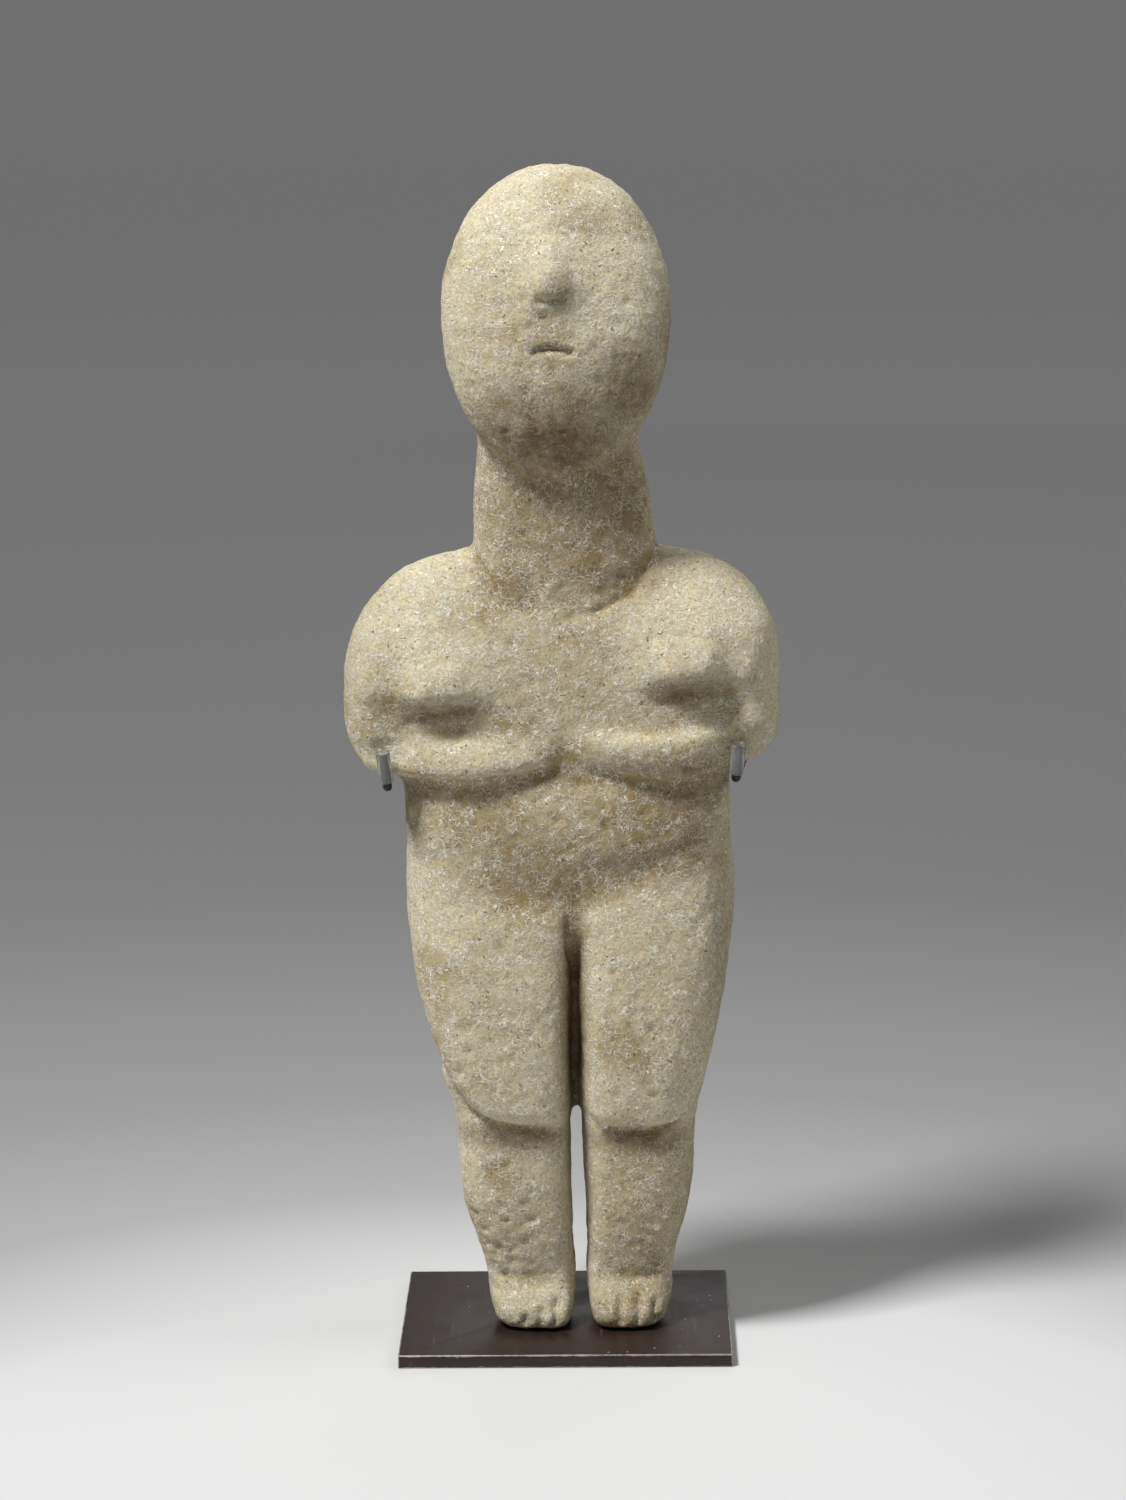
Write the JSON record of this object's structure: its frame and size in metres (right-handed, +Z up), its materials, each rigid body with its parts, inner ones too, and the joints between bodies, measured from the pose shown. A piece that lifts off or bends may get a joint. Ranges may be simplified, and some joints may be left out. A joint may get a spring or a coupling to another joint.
{
  "type": "cycladic marble figurine on a museum stand",
  "caption": "Standing folded-arm marble figurine with a tilted oval head, held under the elbows by a wire cradle on a flat dark metal plate.",
  "frame": {"origin": "on the ground, under the middle of the whole object's box", "axes": "+Z up, the figurine faces -Y, +X is on the right of someone who faces it"},
  "size_m": [0.1094, 0.064, 0.2969],
  "materials": {
    "marble": "weathered, matt, with pale crystalline flecks and brown patina",
    "browned_steel": "dark brown patinated plate, satin, worn bright along its top edges",
    "dark_wire": "blackened rod, satin",
    "clear_tube": "clear soft plastic tube"
  },
  "bodies": {
    "root": {"figurine": "marble", "base_plate": "browned_steel", "cradle": "dark_wire", "sleeve_left": "clear_tube", "sleeve_right": "clear_tube"}
  },
  "joints": []
}
